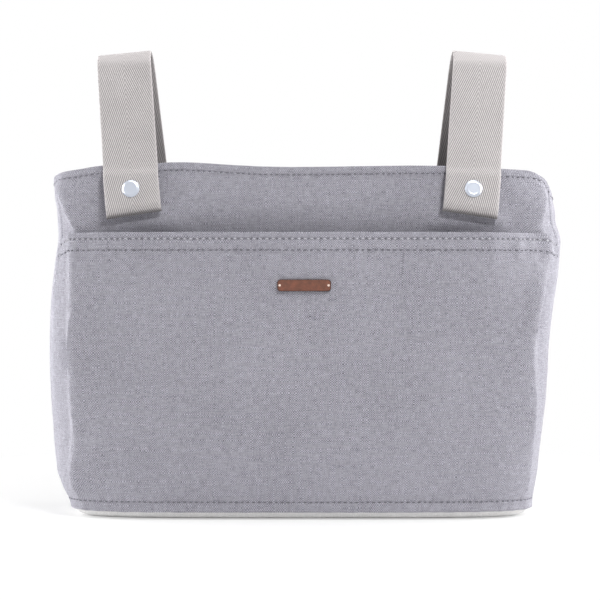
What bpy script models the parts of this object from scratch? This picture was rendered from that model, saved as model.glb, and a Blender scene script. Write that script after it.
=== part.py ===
"""Fabric stroller bag with a front pocket and two webbing straps that snap round a handlebar.

Metres, +Z up. The origin is the centre of the base underside, the front faces -Y, and +X is
to the right as seen from the front. Every sewn panel is a patch of one lofted skin, thickened inwards.
"""

import math

import bmesh
import bpy
import numpy as np
from mathutils import Matrix, Vector

# Bag form: half sizes at three heights
BASE_HALF_WIDTH = 0.181
BELLY_HALF_WIDTH = 0.200
RIM_HALF_WIDTH = 0.194
BASE_HALF_DEPTH = 0.058
BELLY_HALF_DEPTH = 0.0555
RIM_HALF_DEPTH = 0.043
BELLY_HEIGHT = 0.150
RIM_HEIGHT = 0.2695
SECTION_POWER = 4.5
FOOT_RADIUS = 0.014
RIM_MIDDLE_DIP = 0.0025
RIM_CORNER_DROP = 0.0065

# Cloth
PANEL_THICKNESS = 0.0020
POCKET_THICKNESS = 0.0012
LINING_THICKNESS = 0.0008
HEM_BULK = 0.0005
RIM_HEM_WIDTH = 0.008
CLOTH_GAP = 0.0003
SIDE_SEAM_SHARE = 0.885
BASE_SEAM_HEIGHT = 0.0067
EDGE_ROUND = 0.0006

# Front pocket
POCKET_HEIGHT = 0.2185
POCKET_HEM_WIDTH = 0.016
POCKET_EASE = 0.0105
POCKET_EDGE_FALL = 0.004
POCKET_PLATEAU_SHARE = 0.50

# Base board under the lining
BOARD_THICKNESS = 0.0015
BOARD_CLEARANCE = 0.0008

# Webbing straps
STRAP_WIDTH = 0.0424
STRAP_THICKNESS = 0.0020
STRAP_FOOT_X = 0.1285
STRAP_FOOT_HEIGHT = 0.232
STRAP_LEAN = math.radians(5.6)
STRAP_FOLD_LENGTH = 0.038
STRAP_REAR_HEIGHT = 0.205
BAR_DIAMETER = 0.0336
BAR_CLEARANCE = 0.0005
BAR_HEIGHT = 0.345

# Snap fasteners
SNAP_HEIGHT_ON_STRAP = 0.0190
CAP_DIAMETER = 0.0134
CAP_DOME = 0.0014
CAP_EDGE = 0.0005
CAP_POST_RADIUS = 0.0016
SOCKET_DIAMETER = 0.0118
SOCKET_THICKNESS = 0.0018
SOCKET_FLOOR = 0.0007
KNOB_RADIUS = 0.0026
KNOB_HEIGHT = 0.0011
STUD_FLANGE_THICKNESS = 0.0005
PLATE_DIAMETER = 0.0114
PLATE_THICKNESS = 0.0007
PLATE_POST_RADIUS = 0.0013
SNAP_CLEARANCE = 0.0003

# Leather label
LABEL_LENGTH = 0.0408
LABEL_WIDTH = 0.0091
LABEL_THICKNESS = 0.0014
LABEL_CORNER = 0.0016
LABEL_HEIGHT = 0.178
LABEL_X = 0.0015
PIN_INSET = 0.0019
PIN_HEAD_RADIUS = 0.0009
PIN_POST_RADIUS = 0.0005
PIN_HEAD_HEIGHT = 0.0005

# Facet counts
FRONT_COLUMNS = 36
GUSSET_COLUMNS = 4
WALL_ROWS = 10
LINING_ROWS = 6
FOOT_ROWS = 3
STRAP_COLUMNS = 4
ARC_STEPS = 12
LEG_STEPS = 4
TURN_STEPS = 24
PIN_STEPS = 12

# Derived sizes
SNAP_STACK = (
    SNAP_CLEARANCE
    + STUD_FLANGE_THICKNESS
    + SNAP_CLEARANCE
    + SOCKET_THICKNESS
    + SNAP_CLEARANCE
)
LINING_DEPTH = PANEL_THICKNESS + CLOTH_GAP + BOARD_THICKNESS + CLOTH_GAP
SEAM_MARGIN = CLOTH_GAP / 2 / (RIM_HALF_WIDTH + RIM_HALF_DEPTH - FOOT_RADIUS)
LOOP_RADIUS = BAR_DIAMETER / 2 + BAR_CLEARANCE
SIDES = (("left", -1), ("right", 1))


def clear_scene():
    for thing in list(bpy.data.objects):
        bpy.data.objects.remove(thing, do_unlink=True)


def ease(value, start, end):
    """0 before start, 1 after end, and smooth between them."""
    share = min(max((value - start) / (end - start), 0.0), 1.0)
    return share * share * (3 - 2 * share)


def through_three(z, low, middle, high):
    """The parabola through a size at the floor, at the belly and at the rim."""
    s = z / BELLY_HEIGHT
    top = RIM_HEIGHT / BELLY_HEIGHT
    bend = ((high - low) / top - (middle - low)) / (top - 1)
    return low + (middle - low - bend) * s + bend * s * s


def half_width(z):
    return through_three(z, BASE_HALF_WIDTH, BELLY_HALF_WIDTH, RIM_HALF_WIDTH)


def half_depth(z):
    return through_three(z, BASE_HALF_DEPTH, BELLY_HALF_DEPTH, RIM_HALF_DEPTH)


def wrapped(u):
    """u runs round the bag: 0 front middle, 1 right side middle, 2 back middle, -1 left side middle."""
    return (u + 2) % 4 - 2


def share_from_middle(u):
    """0 at the middle of the front or back, 1 at the middle of a side."""
    turn = abs(wrapped(u))
    return turn if turn <= 1 else 2 - turn


def section_quarter(wide, deep, samples=160):
    """A quarter of the section from front middle to side middle, with its length from 0 to 1."""
    t = np.linspace(0, math.pi / 2, samples)
    x = wide * np.sin(t) ** (2 / SECTION_POWER)
    y = deep * np.clip(np.cos(t), 0, 1) ** (2 / SECTION_POWER)
    along = np.concatenate([[0], np.cumsum(np.hypot(np.diff(x), np.diff(y)))])
    return x, y, along / along[-1]


def ring_point(u, wide, deep, z):
    """The point at u on a section with these half sizes."""
    turn = wrapped(u)
    x, y, along = section_quarter(wide, deep)
    share = share_from_middle(u)
    across = math.copysign(float(np.interp(share, along, x)), turn)
    forward = float(np.interp(share, along, y))
    return Vector((across, forward if abs(turn) > 1 else -forward, z))


def skin(u, z, depth=0.0):
    """A point of the wall at height z, moved in from the outer face by depth."""
    return ring_point(u, half_width(z) - depth, half_depth(z) - depth, z)


def foot(u, angle, depth=0.0):
    """A point of the rounded foot: angle 0 is the flat underside, a quarter turn is the wall."""
    reach = FOOT_RADIUS - depth
    z = FOOT_RADIUS - reach * math.cos(angle)
    inset = FOOT_RADIUS - reach * math.sin(angle)
    level = FOOT_RADIUS * (1 - math.cos(angle))
    return ring_point(u, half_width(level) - inset, half_depth(level) - inset, z)


def body(u, z, depth=0.0):
    """A point of the outer skin, from the foot's rounding up to the rim."""
    if z >= FOOT_RADIUS:
        return skin(u, z, depth)
    return foot(u, math.acos(1 - z / FOOT_RADIUS), depth)


def rim_height(u):
    """The mouth dips a little between the straps and falls towards the corners."""
    share = share_from_middle(u)
    dip = RIM_MIDDLE_DIP * (1 - ease(share, 0.05, 0.45))
    return RIM_HEIGHT - dip - RIM_CORNER_DROP * ease(share, 0.68, 1.0)


def wall_offset(x, z):
    """How far the outer face of the wall is from the XZ plane."""
    share = min(abs(x) / half_width(z), 1.0)
    return half_depth(z) * (1 - share**SECTION_POWER) ** (1 / SECTION_POWER)


def side_facing(x, z, step=0.002):
    """The front wall's outward direction at (x, z)."""
    along_x = (wall_offset(x + step, z) - wall_offset(x - step, z)) / (2 * step)
    along_z = (wall_offset(x, z + step) - wall_offset(x, z - step)) / (2 * step)
    return Vector((-along_x, -1.0, -along_z)).normalized()


def material(name, colour, roughness, metallic=0.0):
    made = bpy.data.materials.new(name)
    made.use_nodes = True
    shader = made.node_tree.nodes["Principled BSDF"]
    shader.inputs["Base Color"].default_value = (*colour, 1.0)
    shader.inputs["Roughness"].default_value = roughness
    shader.inputs["Metallic"].default_value = metallic
    made.diffuse_color = (*colour, 1.0)
    return made


def panel_cloth(name):
    return material(name + "_cloth", (0.362, 0.354, 0.407), 0.92)


def lining_cloth(name):
    return material(name + "_cloth", (0.42, 0.41, 0.43), 0.85)


def webbing(name):
    return material(name + "_webbing", (0.56, 0.52, 0.50), 0.88)


def snap_metal(name):
    return material(name + "_metal", (0.78, 0.80, 0.84), 0.28, 1.0)


def leather(name):
    return material(name + "_leather", (0.235, 0.105, 0.068), 0.55)


def board_sheet(name):
    return material(name + "_sheet", (0.30, 0.29, 0.28), 0.7)


def finish(name, mesh_data, surface, sharp=math.radians(38)):
    """Turns a bmesh into a named object with its own material."""
    bmesh.ops.recalc_face_normals(mesh_data, faces=mesh_data.faces)
    mesh = bpy.data.meshes.new(name)
    mesh_data.to_mesh(mesh)
    mesh_data.free()
    mesh.materials.append(surface)
    mesh.shade_smooth()
    mesh.set_sharp_from_angle(angle=sharp)
    made = bpy.data.objects.new(name, mesh)
    bpy.context.scene.collection.objects.link(made)
    return made


def cloth_slab(name, outer, inner, surface):
    """A closed sheet between two grids of points, given as rows of equal length."""
    mesh_data = bmesh.new()
    faces_of = [[[mesh_data.verts.new(p) for p in row] for row in grid] for grid in (outer, inner)]
    rows, columns = len(outer), len(outer[0])
    for grid in faces_of:
        for r in range(rows - 1):
            for c in range(columns - 1):
                mesh_data.faces.new((grid[r][c], grid[r][c + 1], grid[r + 1][c + 1], grid[r + 1][c]))
    edge = [(0, c) for c in range(columns)]
    edge += [(r, columns - 1) for r in range(1, rows)]
    edge += [(rows - 1, c) for c in range(columns - 2, -1, -1)]
    edge += [(r, 0) for r in range(rows - 2, 0, -1)]
    front, back = faces_of
    for (r0, c0), (r1, c1) in zip(edge, edge[1:] + edge[:1]):
        mesh_data.faces.new((front[r0][c0], front[r1][c1], back[r1][c1], back[r0][c0]))
    return finish(name, mesh_data, surface)


def cloth_cup(name, outer, inner, surface):
    """A closed shell between two stacks of rings, with a flat floor across the first ring of each."""
    mesh_data = bmesh.new()
    stacks = [[[mesh_data.verts.new(p) for p in ring] for ring in stack] for stack in (outer, inner)]
    count = len(outer[0])
    for stack in stacks:
        mesh_data.faces.new(stack[0])
        for low, high in zip(stack, stack[1:]):
            for c in range(count):
                n = (c + 1) % count
                mesh_data.faces.new((low[c], low[n], high[n], high[c]))
    outer_top, inner_top = stacks[0][-1], stacks[1][-1]
    for c in range(count):
        n = (c + 1) % count
        mesh_data.faces.new((outer_top[c], outer_top[n], inner_top[n], inner_top[c]))
    return finish(name, mesh_data, surface)


def turned(name, profile, place, surface, steps=TURN_STEPS):
    """Turns an (radius, height) outline about its own axis; place puts it on the bag."""
    mesh_data = bmesh.new()
    points = [mesh_data.verts.new((radius, 0, height)) for radius, height in profile]
    lines = [mesh_data.edges.new(pair) for pair in zip(points, points[1:])]
    if profile[0][0] > 0:
        lines.append(mesh_data.edges.new((points[-1], points[0])))
    bmesh.ops.spin(
        mesh_data,
        geom=points + lines,
        cent=(0, 0, 0),
        axis=(0, 0, 1),
        angle=math.tau,
        steps=steps,
        use_merge=True,
    )
    bmesh.ops.remove_doubles(mesh_data, verts=mesh_data.verts, dist=1e-6)
    made = finish(name, mesh_data, surface)
    made.matrix_world = place
    return made


def drill(target, place, radius, low, high):
    """Cuts a round hole through target, along place's own Z from low to high."""
    mesh_data = bmesh.new()
    middle = Matrix.Translation((0, 0, (low + high) / 2))
    bmesh.ops.create_cone(
        mesh_data,
        cap_ends=True,
        segments=TURN_STEPS // 2,
        radius1=radius,
        radius2=radius,
        depth=high - low,
        matrix=middle,
    )
    mesh = bpy.data.meshes.new(target.name + "_drill")
    mesh_data.to_mesh(mesh)
    mesh_data.free()
    cutter = bpy.data.objects.new(target.name + "_drill", mesh)
    bpy.context.scene.collection.objects.link(cutter)
    cutter.matrix_world = place
    cutter.hide_render = True
    cutter.display_type = "WIRE"
    cut = target.modifiers.new("hole", "BOOLEAN")
    cut.operation = "DIFFERENCE"
    cut.object = cutter
    cut.solver = "EXACT"


def panel_shares(columns):
    """Positions across a panel from -1 to 1, closer together towards its ends, where it bends."""
    even = np.linspace(-1, 1, columns + 1)
    return even * (1.25 - 0.25 * even**2)


def hemmed_rows(bottom, top, hem, rows):
    """Heights from bottom to top, closer at the foot, with a row on each side of the hem's edge.

    Each height comes with how far the cloth stands out there.
    """
    body_rows = [(bottom + (top - hem - bottom) * (i / rows) ** 1.5, 0.0) for i in range(rows + 1)]
    return body_rows + [
        (top - hem + EDGE_ROUND, HEM_BULK),
        (top - EDGE_ROUND, HEM_BULK),
        (top, 0.0),
    ]


def wall_panel(name, middle, half, columns):
    """A sewn wall panel reaching half to each side of middle, from the base seam up to the hemmed rim."""
    us = middle + (half - SEAM_MARGIN) * panel_shares(columns)
    by_column = [hemmed_rows(BASE_SEAM_HEIGHT, rim_height(u), RIM_HEM_WIDTH, WALL_ROWS) for u in us]
    outer = [[body(u, z, -bulk) for u, (z, bulk) in zip(us, row)] for row in zip(*by_column)]
    inner = [[body(u, z, PANEL_THICKNESS) for u, (z, _) in zip(us, row)] for row in zip(*by_column)]
    return cloth_slab(name, outer, inner, panel_cloth(name))


def pocket_top(u):
    return POCKET_HEIGHT - POCKET_EDGE_FALL * ease(abs(u), SIDE_SEAM_SHARE * 0.85, SIDE_SEAM_SHARE)


def pocket_gap(u, z):
    """The pocket hangs plumb while the wall behind it leans back, and both meet in the side seams."""
    rise = (z - BASE_SEAM_HEIGHT) / (pocket_top(u) - BASE_SEAM_HEIGHT)
    middle = 1 - ease(abs(u), POCKET_PLATEAU_SHARE, SIDE_SEAM_SHARE)
    return CLOTH_GAP + POCKET_EASE * max(rise, 0.0) ** 2 * middle


def pocket_panel():
    name = "pocket_panel"
    us = (SIDE_SEAM_SHARE - SEAM_MARGIN) * panel_shares(FRONT_COLUMNS)
    by_column = [hemmed_rows(BASE_SEAM_HEIGHT, pocket_top(u), POCKET_HEM_WIDTH, WALL_ROWS) for u in us]
    outer, inner = [], []
    for row in zip(*by_column):
        gaps = [(u, z, pocket_gap(u, z), bulk) for u, (z, bulk) in zip(us, row)]
        inner.append([body(u, z, -gap) for u, z, gap, _ in gaps])
        outer.append([body(u, z, -gap - POCKET_THICKNESS - bulk) for u, z, gap, bulk in gaps])
    return cloth_slab(name, outer, inner, panel_cloth(name))


def front_share(u):
    """1 across the front, where the pocket covers the wall, and 0 past the side seams."""
    return 1 - ease(abs(wrapped(u)), SIDE_SEAM_SHARE * 0.9, SIDE_SEAM_SHARE)


def ring_positions(step=1):
    """Positions right round the bag, at every column of the wall panels or at each step-th one."""
    gusset = 1 - SIDE_SEAM_SHARE
    spans = (
        (0, SIDE_SEAM_SHARE, FRONT_COLUMNS),
        (1, gusset, GUSSET_COLUMNS),
        (2, SIDE_SEAM_SHARE, FRONT_COLUMNS),
        (3, gusset, GUSSET_COLUMNS),
    )
    positions = []
    for middle, half, columns in spans:
        positions += list(middle + half * panel_shares(columns))[:-1:step]
    return positions


def base_panel():
    """The underside turns up all round to the base seam, and under the pocket it covers both cloths."""
    name = "base_panel"
    end = math.acos(1 - BASE_SEAM_HEIGHT / FOOT_RADIUS) - CLOTH_GAP / FOOT_RADIUS
    cover = CLOTH_GAP + POCKET_THICKNESS
    outer, inner = [], []
    for i in range(FOOT_ROWS + 1):
        angle = end * i / FOOT_ROWS
        swell = cover * math.sin(angle) / math.sin(end)
        outer.append([foot(u, angle, -swell * front_share(u)) for u in ring_positions()])
        inner.append([foot(u, angle, PANEL_THICKNESS) for u in ring_positions()])
    return cloth_cup(name, outer, inner, panel_cloth(name))


def below_hem(u, share):
    """A height between the top of the foot's rounding and the rim hem's lower edge."""
    return FOOT_RADIUS + (rim_height(u) - RIM_HEM_WIDTH - FOOT_RADIUS) * share


def lining():
    """A loose inner bag that lies on the base board and is sewn in just under the rim."""
    name = "lining"
    around = ring_positions(2)

    def rings(thick):
        angles = [math.pi / 2 * i / FOOT_ROWS for i in range(FOOT_ROWS)]
        stack = [[foot(u, angle, LINING_DEPTH + thick) for u in around] for angle in angles]
        for i in range(LINING_ROWS + 1):
            stack.append([skin(u, below_hem(u, i / LINING_ROWS), LINING_DEPTH + thick) for u in around])
        sewn = PANEL_THICKNESS + CLOTH_GAP + thick
        stack.append([skin(u, rim_height(u) - PANEL_THICKNESS, sewn) for u in around])
        return stack

    return cloth_cup(name, rings(0.0), rings(LINING_THICKNESS), lining_cloth(name))


def base_board():
    """A stiff sheet between the base and the lining keeps the bottom flat."""
    name = "base_board"
    inset = FOOT_RADIUS + BOARD_CLEARANCE
    low = PANEL_THICKNESS + CLOTH_GAP
    mesh_data = bmesh.new()
    outline = [
        mesh_data.verts.new(ring_point(u, BASE_HALF_WIDTH - inset, BASE_HALF_DEPTH - inset, low))
        for u in ring_positions(2)
    ]
    sheet = mesh_data.faces.new(outline)
    raised = bmesh.ops.extrude_face_region(mesh_data, geom=[sheet])
    moved = [v for v in raised["geom"] if isinstance(v, bmesh.types.BMVert)]
    bmesh.ops.translate(mesh_data, verts=moved, vec=(0, 0, BOARD_THICKNESS))
    return finish(name, mesh_data, board_sheet(name))


class Strap:
    """One webbing strap: folded foot on the front wall, up and over the bar, down the back wall."""

    def __init__(self, side):
        self.side = side
        self.web = STRAP_THICKNESS

    def place(self, across, height):
        """X and Z of a point, by its distance across the strap and its height above the foot."""
        x = self.side * (STRAP_FOOT_X + height * math.sin(STRAP_LEAN)) + across * math.cos(STRAP_LEAN)
        z = STRAP_FOOT_HEIGHT + height * math.cos(STRAP_LEAN) - self.side * across * math.sin(STRAP_LEAN)
        return x, z

    def rim_at(self, across):
        """The height above the foot at which this column of the strap passes the rim."""
        shift = self.side * across * math.sin(STRAP_LEAN)
        return (RIM_HEIGHT - STRAP_FOOT_HEIGHT + shift) / math.cos(STRAP_LEAN)

    def foot_rows(self):
        """Heights on the front wall, each with the strap's stand-off and thickness there."""
        rim = self.rim_at(0)
        flush = HEM_BULK + CLOTH_GAP
        stand = SNAP_STACK + 2 * SNAP_CLEARANCE
        rows = []
        for height in (0.0, self.web * 0.4, self.web):
            roundness = math.sqrt(1 - (1 - height / self.web) ** 2)
            rows.append((height, stand, self.web * (0.7 + 1.3 * roundness)))
        for i in range(1, 10):
            height = self.web + (rim - self.web) * i / 9
            doubled = 1 - ease(height, STRAP_FOLD_LENGTH * 0.82, STRAP_FOLD_LENGTH)
            off = flush + (stand - flush) * (1 - ease(height, STRAP_FOLD_LENGTH * 0.8, rim))
            rows.append((height, off, self.web * (1 + doubled)))
        return rows

    def tangent(self, start, radius):
        """The angle at which a straight leg from start meets the loop over the bar."""
        away = start - Vector((0, self.bar))
        return math.atan2(away.y, away.x) - math.acos(radius / away.length)

    def column(self, across, outside):
        """Points of one face of the strap, from the front foot to the rear end."""
        points = []
        for height, off, thick in self.foot_rows():
            height = height * self.rim_at(across) / self.rim_at(0)
            x, z = self.place(across, height)
            points.append(Vector((x, -wall_offset(x, z) - off - (thick if outside else 0), z)))
        self.bar = BAR_HEIGHT - self.side * across * math.sin(STRAP_LEAN)
        radius = LOOP_RADIUS + (self.web if outside else 0)
        leave = Vector((points[-1].y, points[-1].z))
        first = self.tangent(leave, radius) % math.tau
        meet = Vector((radius * math.cos(first), self.bar + radius * math.sin(first)))
        flat = [leave.lerp(meet, i / LEG_STEPS) for i in range(1, LEG_STEPS)]
        last = math.pi - first
        for i in range(ARC_STEPS + 1):
            angle = first + (last - first) * i / ARC_STEPS
            flat.append(Vector((radius * math.cos(angle), self.bar + radius * math.sin(angle))))
        drop = self.side * across * math.sin(STRAP_LEAN)
        for y, z in flat:
            height = (z - STRAP_FOOT_HEIGHT + drop) / math.cos(STRAP_LEAN)
            points.append(Vector((self.place(across, height)[0], y, z)))
        points += self.rear_points(across, outside, points[-1])
        return points

    def rear_points(self, across, outside, top):
        """The rear leg runs to the rim and down the back wall, where it is sewn on."""
        off = HEM_BULK + CLOTH_GAP
        rim = self.rim_at(across)
        x, z = self.place(across, rim)
        lift = self.web if outside else 0
        joint = Vector((x, wall_offset(x, z) + off + lift, z))
        points = [top.lerp(joint, i / LEG_STEPS) for i in range(1, LEG_STEPS + 1)]
        end = rim - (RIM_HEIGHT - STRAP_REAR_HEIGHT)
        for i in range(1, 8):
            height = rim + (end - rim) * i / 7
            x, z = self.place(across, height)
            lift = self.web * (0.5 if i == 7 else 1) if outside else 0
            points.append(Vector((x, wall_offset(x, z) + off + lift, z)))
        return points

    def make(self, name):
        spots = [STRAP_WIDTH * (c / STRAP_COLUMNS - 0.5) for c in range(STRAP_COLUMNS + 1)]
        outer = [self.column(across, True) for across in spots]
        inner = [self.column(across, False) for across in spots]
        return cloth_slab(name, outer, inner, webbing(name))


def snap_place(side):
    """The snap's own frame: its origin on the front wall's outer face, its Z pointing out."""
    x, z = Strap(side).place(0, SNAP_HEIGHT_ON_STRAP)
    out = side_facing(x, z)
    right = Vector((0, 0, 1)).cross(out).normalized()
    turn = Matrix((right, out.cross(right), out)).transposed().to_4x4()
    return Matrix.Translation((x, -wall_offset(x, z), z)) @ turn


def snap_stud(name, place):
    """The male half: a flange on the panel with a rounded knob, bored for the plate's post."""
    bore = PLATE_POST_RADIUS + SNAP_CLEARANCE
    low = SNAP_CLEARANCE
    flange = low + STUD_FLANGE_THICKNESS
    top = flange + KNOB_HEIGHT
    wide = PLATE_DIAMETER / 2
    profile = [
        (bore, low),
        (wide, low),
        (wide, flange),
        (KNOB_RADIUS * 0.86, flange),
        (KNOB_RADIUS, flange + KNOB_HEIGHT * 0.5),
        (KNOB_RADIUS * 0.8, top),
        (bore, top),
    ]
    return turned(name, profile, place, snap_metal(name))


def snap_plate(name, place):
    """The plate inside the panel, with the post that runs through the cloth into the stud."""
    inside = -PANEL_THICKNESS - SNAP_CLEARANCE
    top = SNAP_CLEARANCE + STUD_FLANGE_THICKNESS + KNOB_HEIGHT * 0.7
    wide = PLATE_DIAMETER / 2
    profile = [
        (0, inside - PLATE_THICKNESS),
        (wide, inside - PLATE_THICKNESS),
        (wide, inside),
        (PLATE_POST_RADIUS, inside),
        (PLATE_POST_RADIUS, top),
        (0, top),
    ]
    return turned(name, profile, place, snap_metal(name))


def snap_socket(name, place):
    """The female half behind the strap, hollow for the knob and bored for the cap's post."""
    low = 2 * SNAP_CLEARANCE + STUD_FLANGE_THICKNESS
    high = low + SOCKET_THICKNESS
    floor = high - SOCKET_FLOOR
    mouth = KNOB_RADIUS + SNAP_CLEARANCE
    bore = CAP_POST_RADIUS + SNAP_CLEARANCE
    wide = SOCKET_DIAMETER / 2
    profile = [
        (mouth, low),
        (wide * 0.75, low),
        (wide, high - SOCKET_FLOOR),
        (wide, high),
        (bore, high),
        (bore, floor),
        (mouth, floor),
    ]
    return turned(name, profile, place, snap_metal(name))


def snap_cap(name, place):
    """The domed cap on the strap's face, with its post through both layers of webbing."""
    seat = SNAP_STACK + 3 * SNAP_CLEARANCE + 2 * STRAP_THICKNESS
    post_end = SNAP_STACK - SNAP_CLEARANCE - SOCKET_FLOOR + SNAP_CLEARANCE
    wide = CAP_DIAMETER / 2
    profile = [(0, post_end), (CAP_POST_RADIUS, post_end), (CAP_POST_RADIUS, seat), (wide * 0.94, seat)]
    profile += [(wide, seat + CAP_EDGE * 0.5)]
    for i in range(6):
        angle = math.pi / 2 * i / 5
        profile.append((wide * 0.97 * math.cos(angle), seat + CAP_EDGE + CAP_DOME * math.sin(angle)))
    profile[-1] = (0, profile[-1][1])
    return turned(name, profile, place, snap_metal(name))


def pocket_face():
    """The label's own frame on the pocket's outer face: X along the label, Z pointing out."""

    def outer(z):
        u = 0.0
        return body(u, z, -pocket_gap(u, z) - POCKET_THICKNESS)

    below = outer(LABEL_HEIGHT - LABEL_WIDTH / 2)
    above = outer(LABEL_HEIGHT + LABEL_WIDTH / 2)
    up = (above - below).normalized()
    right = Vector((1, 0, 0))
    turn = Matrix((right, up, right.cross(up))).transposed().to_4x4()
    middle = (above + below) / 2
    return Matrix.Translation((LABEL_X, middle.y, middle.z)) @ turn


def label(place):
    """A leather tab with cut corners and softened edges."""
    name = "label"
    half, tall, cut = LABEL_LENGTH / 2, LABEL_WIDTH / 2, LABEL_CORNER
    corners = [(half - cut, tall), (half, tall - cut)]
    corners += [(x, -y) for x, y in reversed(corners)]
    corners += [(-x, -y) for x, y in corners]
    mesh_data = bmesh.new()
    outline = [mesh_data.verts.new((x, y, 2 * CLOTH_GAP)) for x, y in corners]
    tab = mesh_data.faces.new(outline)
    raised = bmesh.ops.extrude_face_region(mesh_data, geom=[tab])
    moved = [v for v in raised["geom"] if isinstance(v, bmesh.types.BMVert)]
    bmesh.ops.translate(mesh_data, verts=moved, vec=(0, 0, LABEL_THICKNESS))
    top = 2 * CLOTH_GAP + LABEL_THICKNESS
    rim = [e for e in mesh_data.edges if all(abs(v.co.z - top) < CLOTH_GAP for v in e.verts)]
    soft = LABEL_THICKNESS * 0.3
    bmesh.ops.bevel(mesh_data, geom=rim, offset=soft, segments=2, profile=0.5, affect="EDGES")
    made = finish(name, mesh_data, leather(name))
    made.matrix_world = place
    return made


def label_pin(name, place):
    """A small pin head on the label, its shank through the leather and ending at the pocket's cloth."""
    top = 2 * CLOTH_GAP + LABEL_THICKNESS + SNAP_CLEARANCE
    profile = [
        (0, CLOTH_GAP),
        (PIN_POST_RADIUS, CLOTH_GAP),
        (PIN_POST_RADIUS, top),
        (PIN_HEAD_RADIUS, top),
        (PIN_HEAD_RADIUS * 0.8, top + PIN_HEAD_HEIGHT * 0.7),
        (0, top + PIN_HEAD_HEIGHT),
    ]
    return turned(name, profile, place, snap_metal(name), steps=PIN_STEPS)


def build_bag():
    front = wall_panel("front_panel", 0, SIDE_SEAM_SHARE, FRONT_COLUMNS)
    wall_panel("back_panel", 2, SIDE_SEAM_SHARE, FRONT_COLUMNS)
    for word, side in SIDES:
        wall_panel(word + "_side_gusset", side, 1 - SIDE_SEAM_SHARE, GUSSET_COLUMNS)
    base_panel()
    pocket_panel()
    lining()
    base_board()
    return front


def build_straps(front):
    through = SNAP_STACK + 2 * STRAP_THICKNESS
    for word, side in SIDES:
        strap = Strap(side).make(word + "_strap")
        place = snap_place(side)
        snap_stud(word + "_snap_stud", place)
        snap_plate(word + "_snap_plate", place)
        snap_socket(word + "_snap_socket", place)
        snap_cap(word + "_snap_cap", place)
        drill(strap, place, CAP_POST_RADIUS + SNAP_CLEARANCE, SNAP_STACK / 2, through * 1.5)
        drill(front, place, PLATE_POST_RADIUS + SNAP_CLEARANCE, -2 * PANEL_THICKNESS, PANEL_THICKNESS)


def build_label():
    place = pocket_face()
    tab = label(place)
    for word, side in SIDES:
        spot = place @ Matrix.Translation((side * (LABEL_LENGTH / 2 - PIN_INSET), 0, 0))
        label_pin("label_" + word + "_pin", spot)
        drill(tab, spot, PIN_POST_RADIUS + SNAP_CLEARANCE, -LABEL_THICKNESS, 3 * LABEL_THICKNESS)


clear_scene()
build_straps(build_bag())
build_label()
bpy.context.view_layer.update()
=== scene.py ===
"""Looks of the stroller bag: sewn cloth panels, herringbone straps, snaps, leather tab and stitches.

Metres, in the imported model's own frame; tables in millimetres say so. Each cloth surface is the
construction's lofted skin, drawn finely, with hems, stitch grooves and soft folds worked into it.
"""

import math

import bmesh
import bpy
import numpy as np
from mathutils import Matrix, Vector


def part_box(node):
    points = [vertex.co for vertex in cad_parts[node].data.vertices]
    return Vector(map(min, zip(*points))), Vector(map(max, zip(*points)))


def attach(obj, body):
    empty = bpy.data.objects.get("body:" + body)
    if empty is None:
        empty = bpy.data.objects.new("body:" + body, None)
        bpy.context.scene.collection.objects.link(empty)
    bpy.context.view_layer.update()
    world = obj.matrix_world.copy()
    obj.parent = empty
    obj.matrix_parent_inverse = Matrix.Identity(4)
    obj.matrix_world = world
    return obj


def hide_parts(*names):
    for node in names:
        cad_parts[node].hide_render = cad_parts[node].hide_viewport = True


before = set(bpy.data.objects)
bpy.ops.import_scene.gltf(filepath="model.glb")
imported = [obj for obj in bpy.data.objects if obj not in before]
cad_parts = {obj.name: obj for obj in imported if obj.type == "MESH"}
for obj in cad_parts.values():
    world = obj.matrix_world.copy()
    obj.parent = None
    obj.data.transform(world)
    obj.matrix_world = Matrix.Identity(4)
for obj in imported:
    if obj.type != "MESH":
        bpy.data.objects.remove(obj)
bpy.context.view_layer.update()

MM = 0.001
SIDES = (("left", -1), ("right", 1))

# Bag form, as in the construction
BASE_HALF_WIDTH = 0.181
BELLY_HALF_WIDTH = 0.200
RIM_HALF_WIDTH = 0.194
BASE_HALF_DEPTH = 0.058
BELLY_HALF_DEPTH = 0.0555
RIM_HALF_DEPTH = 0.043
BELLY_HEIGHT = 0.150
RIM_HEIGHT = 0.2695
SECTION_POWER = 4.5
FOOT_RADIUS = 0.014
FOOT_POWER = 2.8
RIM_MIDDLE_DIP = 0.0025
RIM_CORNER_DROP = 0.0065
PANEL_THICKNESS = 0.0020
POCKET_THICKNESS = 0.0012
LINING_THICKNESS = 0.0008
LINING_DEPTH = 0.0041
HEM_BULK = 0.0005
CLOTH_GAP = 0.0003
SIDE_SEAM_SHARE = 0.885
BASE_SEAM_HEIGHT = 0.0067
POCKET_HEIGHT = 0.2185
POCKET_EASE = 0.0105
POCKET_EDGE_FALL = 0.004
POCKET_PLATEAU_SHARE = 0.50

# Straps and snaps, as in the construction
STRAP_WIDTH = 0.0424
STRAP_THICKNESS = 0.0020
STRAP_FOOT_X = 0.1285
STRAP_FOOT_HEIGHT = 0.232
STRAP_LEAN = math.radians(5.6)
STRAP_FOLD_LENGTH = 0.038
STRAP_REAR_HEIGHT = 0.205
LOOP_RADIUS = 0.0173
BAR_HEIGHT = 0.345
SNAP_HEIGHT_ON_STRAP = 0.0190
SNAP_STACK = 0.0032
SNAP_CLEARANCE = 0.0003
STRAP_MIDDLE = 0.131
STRAP_RIM_CLEARANCE = 0.0006
STRAP_END_GAP = 0.0020
STRAP_END_BEND = 0.0115
STRAP_END_ROUND = 0.0048
STRAP_END_TILT = 0.052
STRAP_END_PUFF = 0.0010
STRAP_EDGE_ROUND = 0.0009
STRAP_BOX_INSET = 0.0035
STRAP_BOX_LOW = 0.004
STRAP_BOX_TALL = 0.034
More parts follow.
